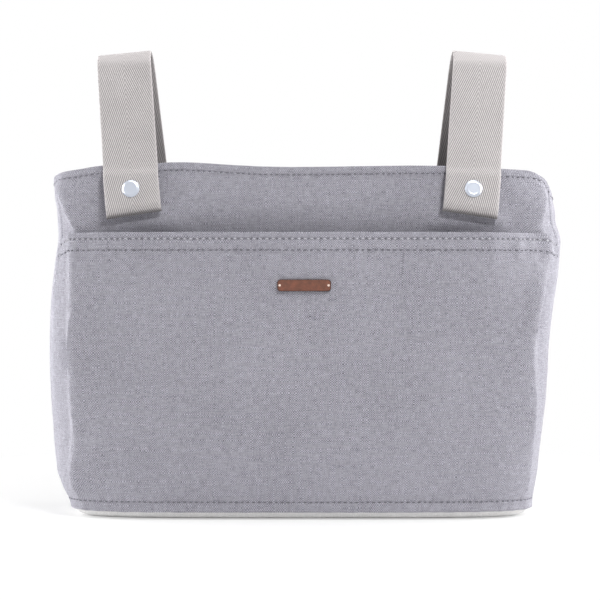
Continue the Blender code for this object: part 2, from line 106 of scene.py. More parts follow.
# Painted shade on the strap's inner face, standing in for the handlebar's shadow inside the loop
STRAP_INNER_PAINTED_SHADE = 0.48
# Painted shade on the underside of the strap's folded foot, which faces down away from the light
STRAP_FOLD_PAINTED_SHADE = 0.75

# Cloth finish
QUARTER_LENGTH = 0.236
CLOTH_STEP = 0.0026
RIM_STITCH_DROP = 0.0062
POCKET_STITCH_DROPS = (0.0050, 0.0136)
BASE_STITCH_HEIGHT = 0.0135
STITCH_PITCH = 0.0046
STITCH_LENGTH = 0.0028
THREAD_RADIUS = 0.00050
GROOVE_DEPTH = 0.00045
GROOVE_WIDTH = 0.0009
POCKET_CUT = 283 * STITCH_PITCH
HEM_PAST_STITCH = 0.0012
HEM_STEP = 0.0016
SEAM_ROLL_PLACE = 0.0035
# Half a seam's gap, as a share of a quarter
SEAM_MARGIN = CLOTH_GAP / 2 / (RIM_HALF_WIDTH + RIM_HALF_DEPTH - FOOT_RADIUS)

# Cloth and light
# How dark painted shade gets, as a share of a material's dark tone
PAINTED_SHADE_SHARE = 0.35
YARN_DRIFT = 3.2
# Heights over the loop's top where the webbing is rubbed smooth and painted paler as a painted highlight
RUBBED_AND_HIGHLIT_HEIGHTS = (0.3490, 0.3565)
# The fourth dimension of a noise or cell node, which 3-D patterns leave alone
UNUSED_W = 0.0
SKY_LEVEL = 0.08
FLOOR_HEIGHT = -0.0004
CAMERA_PLACE = (-0.0016, -1.15, 0.167)
CAMERA_LENS = 86.25
LAMP_AIM = (0, 0, 0.15)
# Name, place, size and watts
LAMPS = (
    ("left_softbox", (-1.1, 0.15, 0.30), (0.9, 1.2), 24),
    ("right_softbox", (1.1, 0.15, 0.30), (0.9, 1.2), 20),
    ("top_softbox", (0.0, -0.25, 1.5), (1.2, 0.9), 4),
    ("key_softbox", (0.60, -1.02, 1.48), (0.42, 0.25), 18),
)

rng = np.random.default_rng(7)


def scaled(rows, *units):
    """A table with each column taken from its own unit to metres or shares."""
    return tuple(tuple(value * unit for value, unit in zip(row, units)) for row in rows)


def bell(distance, width):
    """1 at no distance, falling away smoothly over the width."""
    return np.exp(-((distance / width) ** 2))


def ease(value, start, end):
    """0 before start, 1 after end, smooth between; also for arrays."""
    share = np.clip((np.asarray(value, float) - start) / (end - start), 0, 1)
    return share * share * (3 - 2 * share)


def through_three(z, low, middle, high):
    s = z / BELLY_HEIGHT
    top = RIM_HEIGHT / BELLY_HEIGHT
    bend = ((high - low) / top - (middle - low)) / (top - 1)
    return low + (middle - low - bend) * s + bend * s * s


def half_width(z):
    return through_three(z, BASE_HALF_WIDTH, BELLY_HALF_WIDTH, RIM_HALF_WIDTH)


def half_depth(z):
    return through_three(z, BASE_HALF_DEPTH, BELLY_HALF_DEPTH, RIM_HALF_DEPTH)


def section_table(ratios=49, shares=321, samples=900):
    """Unit section points by depth-to-width ratio and by share of the quarter's length."""
    ratio = np.linspace(0.10, 0.40, ratios)
    share = np.linspace(0, 1, shares)
    t = np.linspace(0, math.pi / 2, samples)
    x = np.sin(t) ** (2 / SECTION_POWER)
    y = np.clip(np.cos(t), 0, 1) ** (2 / SECTION_POWER)
    table = np.zeros((ratios, shares, 2))
    for i, r in enumerate(ratio):
        along = np.concatenate([[0], np.cumsum(np.hypot(np.diff(x), r * np.diff(y)))])
        along /= along[-1]
        table[i, :, 0] = np.interp(share, along, x)
        table[i, :, 1] = np.interp(share, along, y)
    return ratio, share, table


RATIOS, SHARES, SECTION = section_table()


def wrapped(u):
    """u runs round the bag: 0 front middle, 1 right side middle, 2 back middle, -1 left side middle."""
    return (np.asarray(u, float) + 2) % 4 - 2


def share_from_middle(u):
    turn = np.abs(wrapped(u))
    return np.where(turn <= 1, turn, 2 - turn)


def ring_points(u, wide, deep, z):
    """Points at u on sections with these half sizes, as an array of xyz."""
    u, wide, deep, z = np.broadcast_arrays(*(np.asarray(a, float) for a in (u, wide, deep, z)))
    turn = wrapped(u)
    row = np.interp(deep / wide, RATIOS, np.arange(len(RATIOS)))
    column = np.interp(share_from_middle(u), SHARES, np.arange(len(SHARES)))
    r0 = np.clip(row.astype(int), 0, len(RATIOS) - 2)
    c0 = np.clip(column.astype(int), 0, len(SHARES) - 2)
    fr, fc = (row - r0)[..., None], (column - c0)[..., None]
    low = SECTION[r0, c0] * (1 - fc) + SECTION[r0, c0 + 1] * fc
    high = SECTION[r0 + 1, c0] * (1 - fc) + SECTION[r0 + 1, c0 + 1] * fc
    unit = low * (1 - fr) + high * fr
    across = unit[..., 0] * wide * np.where(turn < 0, -1, 1)
    forward = unit[..., 1] * deep * np.where(np.abs(turn) > 1, 1, -1)
    return np.stack([across, forward, z], -1)


class Drift:
    """A smooth uneven field made of a few slanted waves, between about -1 and 1."""

    def __init__(self, size, waves=7):
        angle = rng.uniform(0, math.tau, waves)
        length = size * rng.uniform(0.7, 1.7, waves)
        self.kx = np.cos(angle) * math.tau / length
        self.kz = np.sin(angle) * math.tau / length
        self.phase = rng.uniform(0, math.tau, waves)

    def at(self, s, z):
        s, z = np.asarray(s, float)[..., None], np.asarray(z, float)[..., None]
        return np.sin(self.kx * s + self.kz * z + self.phase).sum(-1) / math.sqrt(len(self.phase))


BROAD = Drift(0.16)
MIDDLING = Drift(0.055)
PUCKER = Drift(0.013)


# How far each side has moved out from its cut shape, by height, both in millimetres
LEFT_SIDE_MOVES = scaled((
    (0, -3), (10, -3.1), (27, 8.9), (48, 8.3), (69, 5.9), (88, 4.6), (108, 3.2), (150, 0.3), (167, -0.7),
    (187, -2.3), (204, -3.4), (216, -4.5), (232, -2.4), (242.5, -1.3), (249, 1.5), (270, 0)), MM, MM)
RIGHT_SIDE_MOVES = scaled((
    (0, -3), (10, -4.3), (27, -1), (48, -1.4), (69, -0.5), (88, 0.2), (108, -1), (128, -2.2), (147, -2),
    (167, -0.8), (187, 2.1), (206, 4.8), (214, 6.6), (219, 6.7), (228, 3.7), (238, 5.9), (247, 3.9),
    (252, 4.9), (258, 3.1), (270, -2)), MM, MM)


def smooth_through(place, pairs, reach):
    """A line through (place, value) pairs, rounded at its corners."""
    places, values = zip(*pairs)
    offsets = np.linspace(-reach, reach, 7)
    return sum(np.interp(place + offset, places, values) for offset in offsets) / len(offsets)


def side_move(u, z):
    """The filled bag leans: its sides no longer match, and each moves along X."""
    weight = ease(share_from_middle(u), 0.55, 0.97)
    left = -smooth_through(z, LEFT_SIDE_MOVES, 0.005)
    right = smooth_through(z, RIGHT_SIDE_MOVES, 0.005)
    return weight * np.where(wrapped(u) < 0, left, right)


def under_strap(u, z):
    """1 where a strap lies on the cloth and holds it flat, and 0 away from it."""
    across = 1 - ease(np.abs(share_from_middle(u) * QUARTER_LENGTH - STRAP_MIDDLE), 0.024, 0.040)
    low = np.where(np.abs(wrapped(u)) < 1, STRAP_FOOT_HEIGHT, STRAP_REAR_HEIGHT)
    return across * ease(z, low - 0.016, low - 0.003)


# Where the ridge down each front corner lies: height in millimetres, and the share of the way
# round to the side's middle
LEFT_RIDGE = scaled((
    (0, 0.77), (30, 0.762), (60, 0.735), (110, 0.742), (170, 0.738), (219, 0.752), (228, 0.783),
    (243, 0.822), (258, 0.858)), MM, 1)
RIGHT_RIDGE = scaled((
    (0, 0.77), (30, 0.775), (80, 0.77), (130, 0.745), (170, 0.765), (200, 0.795), (219, 0.804),
    (245, 0.828), (258, 0.84)), MM, 1)
BACK_RIDGE = 0.775
RIDGE_CREST = 0.0018
RIDGE_REACH = 0.055
RIDGE_HOLLOW = 0.0064
HOLLOW_REACH = 0.050


def corner_fold(u, z):
    """Each corner turns along a ridge, and the cloth beyond it has fallen in towards the gusset."""
    turn = wrapped(u)
    share = share_from_middle(u)
    on_front = np.abs(turn) < 1
    ridge = np.where(turn < 0, smooth_through(z, LEFT_RIDGE, 0.006), smooth_through(z, RIGHT_RIDGE, 0.006))
    past = share - np.where(on_front, ridge, BACK_RIDGE)
    strength = (0.85 + 0.15 * np.sin(z * 74 + turn * 3)) * np.where(on_front, 1.0, 0.7)
    strength = strength + 0.40 * bell(z - 0.065, 0.040) * ((turn < 0) & on_front)
    before = RIDGE_CREST * bell(past, RIDGE_REACH)
    fallen = 1 - np.exp(-np.clip(past, 0, None) / HOLLOW_REACH)
    beyond = RIDGE_CREST - (RIDGE_CREST + RIDGE_HOLLOW) * fallen
    ends = ease(z, 0.004, 0.030) * (1 - ease(z, 0.252, 0.268))
    return np.where(past < 0, before, beyond) * strength * ends * (1 - ease(share, 0.86, 1.0))


# Dents and swells of the worn cloth: u, height, reach along u, reach along z, slant, how far out.
# The heights, reaches along z and how far out are in millimetres
DENTS = scaled((
    (-0.725, 58, 0.03, 14, 0.5, -3), (-0.765, 52, 0.022, 20, 0.3, 1.2),
    (-0.775, 122, 0.028, 18, -0.9, -2.2), (-0.7, 105, 0.05, 30, -0.5, 1),
    (0.735, 163, 0.028, 20, 0.9, 1.7), (0.8, 150, 0.03, 26, 0.4, -2.2), (0.77, 200, 0.03, 18, -0.5, -1.4),
    (0.69, 40, 0.06, 22, 0.2, 0.9), (-0.55, 235, 0.06, 13, 0, -1.2), (0.3, 240, 0.11, 12, 0.06, -0.9),
    (-0.12, 243, 0.08, 10, -0.08, 0.6), (0.745, 249, 0.085, 13, 0, 2), (0.745, 224, 0.085, 13, 0, -3.4),
    (-0.715, 246, 0.055, 14, 0, 0.6), (1.38, 150, 0.11, 34, 0.5, -2.2), (1.62, 180, 0.09, 18, -0.5, 1.2),
    (-1.42, 115, 0.1, 32, -0.6, -2.2), (-1.6, 165, 0.09, 16, 0.5, 1.2), (1.3, 48, 0.1, 18, -0.4, -1.8),
    (-1.3, 45, 0.11, 20, 0.4, -1.6), (1.8, 232, 0.12, 16, 0.2, -1.2),
    (1.7, 90, 0.14, 30, 0.3, 1.1)), 1, MM, 1, MM, 1, MM)


def dents(u, z):
    turn = wrapped(u)
    total = 0.0
    for at, height, along, tall, slant, out in DENTS:
        across = (turn - at) / along - slant * (z - height) / tall
        total = total + out * bell(across, 1) * bell(z - height, tall)
    return total


def behind_pocket(u, z):
    """The front wall falls back from the pocket's mouth, which stays where it is sewn."""
    turn = np.abs(wrapped(u))
    return -0.0030 * bell(z - 0.216, 0.018) * (1 - ease(turn, 0.50, 0.80))


def settle(u, z):
    """How far the worn cloth stands out from its cut shape, calm at seams and under the straps."""
    s = wrapped(u) * QUARTER_LENGTH
    calm = ease(z, BASE_SEAM_HEIGHT, 0.05) * (1 - 0.6 * ease(z, 0.250, RIM_HEIGHT))
    waves = 0.0012 * BROAD.at(s, z) + 0.00035 * MIDDLING.at(s, z)
    formed = calm * waves + corner_fold(u, z) + dents(u, z) + behind_pocket(u, z)
    return formed * (1 - under_strap(u, z))


def body(u, z, depth=0.0):
    """The bag's skin, rounded under at the foot, moved in by depth along its normal."""
    u, z, depth = np.broadcast_arrays(*(np.asarray(a, float) for a in (u, z, depth)))
    depth = depth - settle(u, z)
    above = np.clip(1 - z / FOOT_RADIUS, 0, 1)
    beside = (1 - above**FOOT_POWER) ** (1 / FOOT_POWER)
    reach = FOOT_RADIUS - depth
    inset = FOOT_RADIUS - reach * beside
    level = np.where(z < FOOT_RADIUS, FOOT_RADIUS - reach * above, z)
    points = ring_points(u, half_width(z) - inset, half_depth(z) - inset, level)
    points[..., 0] += side_move(u, z)
    return points


# The front rim by u from the left side's middle to the right side's, in millimetres above its
# cut height
FRONT_RIM = scaled((
    (-1.02, -7), (-0.92, -5.4), (-0.877, -4), (-0.841, -2.6), (-0.81, -1.8), (-0.78, -1), (-0.716, 1.2),
    (-0.66, 1.8), (-0.54, 2.4), (-0.463, 3.7), (-0.41, 3.7), (-0.357, 3.2), (-0.252, 1.6), (-0.147, 0.4),
    (-0.042, 0), (0.063, 0.1), (0.168, 0.5), (0.273, 0.8), (0.379, 1.1), (0.484, 1), (0.62, 0),
    (0.709, -1.2), (0.766, -1.6), (0.81, -2), (0.841, -4.2), (0.875, -9.8), (0.91, -14.5),
    (1.02, -16.5)), 1, MM)


def rim_height(u):
    turn = wrapped(u)
    share = share_from_middle(u)
    back = -RIM_MIDDLE_DIP * (1 - ease(share, 0.05, 0.45)) - RIM_CORNER_DROP * ease(share, 0.68, 1.0)
    side = np.where(turn < 0, FRONT_RIM[0][1], FRONT_RIM[-1][1])
    back = back + (side + RIM_CORNER_DROP) * ease(share, 0.86, 1.0)
    return RIM_HEIGHT + np.where(np.abs(turn) < 1, smooth_through(turn, FRONT_RIM, 0.013), back)


def pocket_top(u):
    return POCKET_HEIGHT - POCKET_EDGE_FALL * ease(np.abs(u), SIDE_SEAM_SHARE * 0.85, SIDE_SEAM_SHARE)


def pocket_gap(u, z):
    rise = np.clip((z - BASE_SEAM_HEIGHT) / (pocket_top(u) - BASE_SEAM_HEIGHT), 0, None)
    middle = 1 - ease(np.abs(u), POCKET_PLATEAU_SHARE, SIDE_SEAM_SHARE)
    return CLOTH_GAP + POCKET_EASE * rise**2 * middle


def wall_offset(x, z):
    share = min(abs(x) / half_width(z), 1.0)
    return half_depth(z) * (1 - share**SECTION_POWER) ** (1 / SECTION_POWER)


def wall_facing(x, z, step=0.002):
    along_x = (wall_offset(x + step, z) - wall_offset(x - step, z)) / (2 * step)
    along_z = (wall_offset(x, z + step) - wall_offset(x, z - step)) / (2 * step)
    return Vector((-along_x, -1.0, -along_z)).normalized()


def groove(distance):
    """A stitch row pulls the cloth in along its line."""
    return -GROOVE_DEPTH * bell(distance, GROOVE_WIDTH)


def puckers(s, z, distance, reach=0.010):
    """Small ripples that run out from a stitched seam."""
    return 0.00030 * PUCKER.at(s, z * 0.25) * bell(distance, reach)


def turned_hem(down, width, roll=0.0012):
    """A doubled edge: it rolls over at the top and steps back to single cloth at its lower edge."""
    rolled = np.sqrt(np.clip(1 - (1 - np.clip(down / roll, 0, 1)) ** 2, 0, 1))
    return HEM_BULK * ease(down, width + 0.0006, width - 0.0004) * rolled


def wall_rows(u, z):
    """Distances from a wall panel's stitch rows."""
    front = np.abs(wrapped(u)) < SIDE_SEAM_SHARE
    return (rim_height(u) - z - RIM_STITCH_DROP, np.where(front, 1.0, z - BASE_STITCH_HEIGHT))


def pocket_rows(u, z):
    down = pocket_top(u) - z
    return (*(down - drop for drop in POCKET_STITCH_DROPS), z - BASE_STITCH_HEIGHT)


def fold_lip(z):
    """The lower edge of the panel stands a little proud of the base that tucks in under it."""
    return 0.0006 * bell(z - BASE_SEAM_HEIGHT - 0.0008, 0.0018)


def wall_bulge(u, z):
    """How far a wall panel's outer face stands out from the settled skin."""
    s = np.asarray(u, float) * QUARTER_LENGTH
    out = turned_hem(rim_height(u) - z, RIM_STITCH_DROP + HEM_PAST_STITCH)
    for distance in wall_rows(u, z):
        out = out + groove(distance) + puckers(s, z, distance)
    return out


def by_label(u, z):
    """1 under the label, which keeps the pocket flat, and 0 away from it."""
    along = 1 - ease(np.abs(np.asarray(u) * QUARTER_LENGTH - 0.0015), 0.023, 0.034)
    return along * (1 - ease(np.abs(z - 0.178), 0.007, 0.018))


def pocket_bulge(u, z):
    """The pocket panel's outer face above the skin: its ease, cloth, hem and stitch rows."""
    s = np.asarray(u, float) * QUARTER_LENGTH + POCKET_CUT
    hem = turned_hem(pocket_top(u) - z, POCKET_STITCH_DROPS[1] + HEM_PAST_STITCH)
    out = pocket_gap(u, z) - behind_pocket(u, z) + POCKET_THICKNESS + hem + fold_lip(z)
    for distance in pocket_rows(u, z):
        out = out + groove(distance) + puckers(s, z, distance)
    return out - settle(u, z) * by_label(u, z)


def stitch_row_painted_shade(distance):
    """Painted shade along a stitch row, which the material sets darkest at the needle holes."""
    return bell(distance, 0.0008)


def levels(bottom, top, lines, step=CLOTH_STEP, fine=0.0005, spread=0.0022):
    """Shares from bottom to top, close together where a stitch row or an edge needs it."""
    heights = set(np.linspace(0, 1, int((top - bottom) / step) + 1).round(6))
    for line in lines:
        for offset in np.arange(-spread, spread + fine / 2, fine):
            share = (line + offset - bottom) / (top - bottom)
            if 0 <= share <= 1:
                heights.add(round(float(share), 6))
    ordered = sorted(heights)
    kept = [ordered[0]]
    for share in ordered[1:]:
        if (share - kept[-1]) * (top - bottom) > fine * 0.45:
            kept.append(share)
    kept[-1] = 1.0
    return np.array(kept)


def cleaned(mesh, merge=False):
    """Turns all faces outwards, after joining doubled points where asked."""
    bm = bmesh.new()
    bm.from_mesh(mesh)
    if merge:
        bmesh.ops.remove_doubles(bm, verts=bm.verts, dist=1e-7)
    bmesh.ops.recalc_face_normals(bm, faces=bm.faces)
    bm.to_mesh(mesh)
    bm.free()


def object_from(name, points, faces, uvs=None, smooth=True, sharp=math.radians(50), painted_shade=None):
    mesh = bpy.data.meshes.new(name)
    mesh.from_pydata([tuple(p) for p in points], [], faces)
    # Per-point painted shade, which the materials darken the colour by
    if painted_shade is not None:
        values = mesh.attributes.new("painted_shade", "FLOAT", "POINT").data
        values.foreach_set("value", np.asarray(painted_shade, np.float32))
    if uvs is not None:
        layer = mesh.uv_layers.new(name="cloth")
        corner = np.zeros(len(mesh.loops), np.int32)
        mesh.loops.foreach_get("vertex_index", corner)
        layer.data.foreach_set("uv", np.asarray(uvs, np.float32)[corner].ravel())
    cleaned(mesh)
    if smooth:
        mesh.shade_smooth()
        mesh.set_sharp_from_angle(angle=sharp)
    made = bpy.data.objects.new(name, mesh)
    bpy.context.scene.collection.objects.link(made)
    return made


def as_faces(quads):
    return [tuple(quad) for quad in quads.reshape(-1, 4).tolist()]


def ring_quads(rings, sides, first=0):
    """Quads between stacked closed rings of points."""
    index = first + np.arange(rings * sides).reshape(rings, sides)
    after = np.roll(index, -1, 1)
    return np.stack([index[:-1], after[:-1], after[1:], index[1:]], -1)


def two_faced(outer, inner, uv, quads):
    """Points, cloth coordinates and faces of both sides of a sheet, the inner side turned over."""
    points = np.concatenate([outer.reshape(-1, 3), inner.reshape(-1, 3)])
    flat = np.tile(uv.reshape(-1, 2), (2, 1))
    return points, flat, as_faces(quads) + as_faces(quads[..., ::-1] + outer.size // 3)


def slab(name, outer, inner, uv, painted_shade=None, inner_painted_shade=0.0):
    """A closed cloth sheet between two grids of points, with cloth coordinates in metres."""
    index = np.arange(outer.size // 3).reshape(outer.shape[:2])
    quads = np.stack([index[:-1, :-1], index[:-1, 1:], index[1:, 1:], index[1:, :-1]], -1)
    points, flat, faces = two_faced(outer, inner, uv, quads)
    rim = np.concatenate([index[0, :], index[1:, -1], index[-1, -2::-1], index[-2:0:-1, 0]])
    after = np.roll(rim, -1)
    faces += as_faces(np.stack([rim, rim + index.size, after + index.size, after], -1))
    # Painted shade for the outer face, and one even painted shade for the inner face
    outer_painted_shade = np.zeros(index.size) if painted_shade is None else painted_shade.ravel()
    tone = np.concatenate([outer_painted_shade, np.full(index.size, inner_painted_shade)])
    return object_from(name, points, faces, flat, painted_shade=tone)


def cup(name, outer, inner, uv):
    """A closed shell between two stacks of rings that share a flat floor each."""
    rows, columns = outer.shape[:2]
    count = rows * columns
    points, flat, faces = two_faced(outer, inner, uv, ring_quads(rows, columns))
    floor = list(range(columns))
    faces.append(tuple(floor))
    faces.append(tuple(count + k for k in reversed(floor)))
    top = np.arange(count - columns, count)
    after = np.roll(top, -1)
    faces += as_faces(np.stack([top, after, after + count, top + count], -1))
    return object_from(name, points, faces, flat)


def set_finish(piece, surface):
    piece.data.materials.clear()
    piece.data.materials.append(surface)


def mount(piece, slot, surface, *nodes):
    """Rides on the bag's one body and stands for its solids; the slot is not used."""
    set_finish(piece, surface)
    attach(piece, "root")
    if nodes:
        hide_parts(*nodes)


def rgba(r, g, b):
    return (r, g, b, 1.0)


class Nodes:
    """A short way to write the node graph of a material or of the world."""

    def __init__(self, owner):
        owner.use_nodes = True
        self.owner = owner
        self.tree = owner.node_tree
        self.shader = self.tree.nodes.get("Principled BSDF")

    def link(self, value, socket):
        if isinstance(value, bpy.types.NodeSocket):
            self.tree.links.new(value, socket)
        else:
            socket.default_value = value

    def node(self, kind, *values, **settings):
        """A node with its first inputs set to these values or sockets."""
        made = self.tree.nodes.new(kind)
        for key, value in settings.items():
            setattr(made, key, value)
        for value, socket in zip(values, made.inputs):
            self.link(value, socket)
        return made

    def math(self, operation, *values):
        return self.node("ShaderNodeMath", *values, operation=operation).outputs[0]

    def plus(self, a, b):
        return self.math("ADD", a, b)

    def minus(self, a, b):
        return self.math("SUBTRACT", a, b)

    def times(self, a, b):
        return self.math("MULTIPLY", a, b)

    def fused(self, a, b, c):
        """a * b + c"""
        return self.math("MULTIPLY_ADD", a, b, c)

    def wave(self, value, turn):
        return self.math("SINE", self.times(value, turn))

    def centred(self, value):
        return self.minus(value, 0.5)

    def cloth(self):
        """Cloth coordinates in metres, across and along."""
        split = self.node("ShaderNodeSeparateXYZ", self.node("ShaderNodeUVMap", uv_map="cloth").outputs[0])
        return split.outputs[0], split.outputs[1]

    def vector(self, x, y, z=0.0):
        return self.node("ShaderNodeCombineXYZ", x, y, z).outputs[0]

    def place(self):
        return self.node("ShaderNodeTexCoord").outputs["Object"]

    def with_painted_shade(self, colour, dark, share):
        """The colour, darkened by painted shade where the mesh's per-point shade values say so."""
        painted_shade = self.node("ShaderNodeAttribute", attribute_name="painted_shade").outputs["Fac"]
        return self.mix(self.times(painted_shade, share), colour, rgba(*(PAINTED_SHADE_SHARE * c for c in dark[:3])))

    def seen(self):
        """1 for the camera, reflections and light through glass, and 0 for light on the object."""
        rays = self.node("ShaderNodeLightPath").outputs
        seen = self.math("MAXIMUM", rays["Is Camera Ray"], rays["Is Glossy Ray"])
        return self.math("MAXIMUM", seen, rays["Is Transmission Ray"])

    def noise(self, vector, scale, detail=2.0, roughness=0.5):
        return self.node("ShaderNodeTexNoise", vector, UNUSED_W, scale, detail, roughness).outputs["Fac"]

    def between(self, value, low, high, start=0.0, end=1.0):
        return self.node("ShaderNodeMapRange", value, low, high, start, end, clamp=True).outputs[0]

    def mix(self, factor, a, b):
        made = self.node("ShaderNodeMix", data_type="RGBA")
        self.link(factor, made.inputs[0])
        self.link(a, made.inputs[6])
        self.link(b, made.inputs[7])
        return made.outputs[2]

    def bump(self, height, distance):
        """Relief at full strength; a height of 1 stands out by the distance in metres."""
        made = self.node("ShaderNodeBump", 1.0, distance)
        self.link(height, made.inputs["Height"])
        return made.outputs[0]

    def done(self, colour, roughness, normal, **fixed):
        inputs = self.shader.inputs
        self.link(colour, inputs["Base Color"])
        self.link(roughness, inputs["Roughness"])
        self.link(normal, inputs["Normal"])
        for key, value in fixed.items():
            inputs[key.replace("_", " ").title().replace("Ior", "IOR")].default_value = value
        return self.owner


def new_material(name):
    return Nodes(bpy.data.materials.new(name))


def woven(name, light, dark, pitch, contrast, relief, slub=0.12):
    """Plain weave in two yarn tones: over-and-under pillows, uneven yarns and slow mottling."""
    n = new_material(name)
    across, along = n.cloth()
    place = n.place()
    x = n.math("DIVIDE", across, pitch)
    y = n.math("DIVIDE", along, pitch)
    x_drift = n.noise(n.vector(n.times(x, 0.24), n.times(y, 0.02)), 1.0, 1.0)
    y_drift = n.noise(n.vector(n.times(x, 0.02), n.times(y, 0.24), 9.0), 1.0, 1.0)
    x = n.fused(n.centred(x_drift), YARN_DRIFT, x)
    y = n.fused(n.centred(y_drift), YARN_DRIFT, y)
    checker = n.times(n.wave(x, math.pi), n.wave(y, math.pi))
    pillow = n.math("ABSOLUTE", checker)
    warp = n.noise(n.vector(x, n.times(y, 0.16)), 0.85, 1.0)
    weft = n.noise(n.vector(n.times(x, 0.16), y, 7.0), 0.85, 1.0)
    yarn = n.minus(n.plus(warp, weft), 1.0)
    tone = 0.45
    fleck = n.centred(n.noise(place, 620, 1.0))
    mottle = n.centred(n.noise(place, 16, 3.0))
    parts = ((checker, contrast), (yarn, slub * 4), (fleck, 0.36), (mottle, 0.30), (pillow, 0.32))
    for part, share in parts:
        tone = n.fused(part, share, tone)
    colour = n.mix(n.between(tone, 0.0, 1.0), dark, light)
    # Painted shade: darkest at the needle holes between stitches, fainter along the whole row
    between_stitches = n.math("ABSOLUTE", n.math("COSINE", n.times(across, math.pi / STITCH_PITCH)))
    needle_hole_painted_shade = n.fused(n.math("POWER", between_stitches, 5.0), 0.50, 0.12)
    normal = n.bump(n.plus(pillow, n.times(yarn, 0.6)), relief)
    colour = n.with_painted_shade(colour, dark, needle_hole_painted_shade)
    return n.done(colour, 0.92, normal, sheen_weight=0.10, sheen_roughness=0.45, specular_ior_level=0.12)


def herringbone(name, light, dark):
    """Webbing: steep twill lines that rise to a middle spine and turn back near both selvedges."""
    spine_reach = 0.0199
    pitch = 0.0041
    steep = 2.55
    spine_round = 0.0003
    pick_spacing = 0.0012
    n = new_material(name)
    across, along = n.cloth()
    out = n.math("SQRT", n.fused(across, across, spine_round**2))
    fold = n.minus(spine_reach, n.math("ABSOLUTE", n.minus(out, spine_reach)))
    waver = n.times(n.centred(n.noise(n.place(), 120)), 0.0008)
    run = n.plus(n.fused(fold, steep, along), waver)
    ridge = n.math("POWER", n.fused(n.wave(n.math("DIVIDE", run, pitch), math.tau), 0.5, 0.5), 0.7)
    picks = n.fused(n.wave(along, math.tau / pick_spacing), 0.5, 0.5)
    fleck = n.centred(n.noise(n.place(), 560, 1.0))
    slow = n.centred(n.noise(n.place(), 26, 2.0))
    tone = n.fused(ridge, 0.85, 0.02)
    for part, share in ((n.times(picks, ridge), 0.12), (fleck, 0.20), (slow, 0.25)):
        tone = n.fused(part, share, tone)
    height = n.node("ShaderNodeSeparateXYZ", n.place()).outputs[2]
    # Over the loop's top the pattern and relief are calmed as wear, and the tone is painted paler: a
    # painted highlight where it faces the light
    rubbed_and_highlit = n.between(height, *RUBBED_AND_HIGHLIT_HEIGHTS, 0.0, 0.72)
    selvedge = n.between(out, 0.0186, 0.0198, 0.0, 0.75)
    spine = n.between(out, 0.0014, 0.0004, 0.0, 0.50)
    calm = n.math("MAXIMUM", n.math("MAXIMUM", rubbed_and_highlit, selvedge), spine)
    tone = n.fused(n.minus(n.fused(rubbed_and_highlit, 0.34, 0.55), tone), calm, tone)
    colour = n.with_painted_shade(n.mix(n.between(tone, 0.0, 1.0), dark, light), dark, 0.75)
    relief = n.times(n.fused(picks, 0.25, ridge), n.minus(1.0, rubbed_and_highlit))
    normal = n.bump(relief, 0.00005)
    return n.done(colour, 0.92, normal, sheen_weight=0.1, sheen_roughness=0.45, specular_ior_level=0.15)


def thread(name, light, dark):
    """Sewing thread: twisted strands, with a painted highlight along its arch and painted shade where it
    dips through the cloth.
    """
    n = new_material(name)
    turn, along = n.cloth()
    strand = n.math("SINE", n.fused(along, math.tau * 5, n.times(turn, math.tau)))
    # Painted highlight at the stitch's middle, painted shade towards both ends
    painted_arch_light = n.fused(n.math("ABSOLUTE", n.centred(along)), -2.0, 1.0)
    tone = n.fused(strand, 0.14, n.between(painted_arch_light, 0.0, 0.55))
    colour = n.mix(n.between(tone, 0.0, 1.0), dark, light)
    return n.done(colour, 0.7, n.bump(strand, 0.00006), sheen_weight=0.2, sheen_roughness=0.4)


def bright_metal(name, colour, roughness):
    """Satin plated metal with faint polishing marks."""
    n = new_material(name)
    place = n.place()
    haze = n.noise(place, 260, 3.0)
    scuff = n.noise(place, 1500, 2.0)
    rough = n.between(haze, 0.3, 0.7, roughness * 0.96, roughness * 1.05)
    return n.done(colour, rough, n.bump(scuff, 0.000002), metallic=1.0)


def grained_leather(name):
    """Waxed brown leather: pebbled grain, darker burnished edges, paler worn middle."""
    n = new_material(name)
    place = n.place()
    across, along = n.cloth()
    cells = n.node("ShaderNodeTexVoronoi", place, UNUSED_W, 1700, feature="DISTANCE_TO_EDGE")
    crease = n.between(cells.outputs["Distance"], 0.0, 0.18)
    cloudy = n.noise(place, 220, 4.0, 0.6)
    tone = n.fused(n.centred(cloudy), 1.6, 0.5)
    colour = n.mix(n.between(tone, 0.0, 1.0), rgba(0.105, 0.037, 0.024), rgba(0.35, 0.125, 0.070))
    colour = n.mix(n.between(crease, 0.0, 1.0, 0.45, 0.0), colour, rgba(0.05, 0.02, 0.014))
    colour = n.mix(n.between(across, 0.55, 1.0), colour, rgba(0.035, 0.016, 0.012))
    normal = n.bump(n.fused(cloudy, 0.6, crease), 0.00010)
    return n.done(colour, n.between(cloudy, 0.2, 0.8, 0.42, 0.62), normal, specular_ior_level=0.45)


def pressed_board(name):
    n = new_material(name)
    place = n.place()
    fibre = n.noise(place, 300, 5.0, 0.7)
    colour = n.mix(n.between(fibre, 0.25, 0.75), rgba(0.21, 0.20, 0.19), rgba(0.36, 0.34, 0.32))
    return n.done(colour, 0.8, n.bump(fibre, 0.0001))


PANEL = woven("panel_cloth", rgba(0.57, 0.56, 0.63), rgba(0.15, 0.145, 0.168), 0.00086, 0.56, 0.00018, 0.15)
# The base is a paler neutral cloth, made paler still as painted light for the light its underside catches
# from below
BASE_WITH_PAINTED_LIGHT = woven("base_cloth", rgba(0.86, 0.85, 0.845), rgba(0.58, 0.575, 0.57), 0.00100, 0.16, 0.00012)
LINING = woven("lining_cloth", rgba(0.56, 0.55, 0.58), rgba(0.34, 0.33, 0.36), 0.00045, 0.10, 0.00006, 0.05)
WEB = herringbone("strap_webbing", rgba(0.76, 0.72, 0.72), rgba(0.22, 0.205, 0.205))
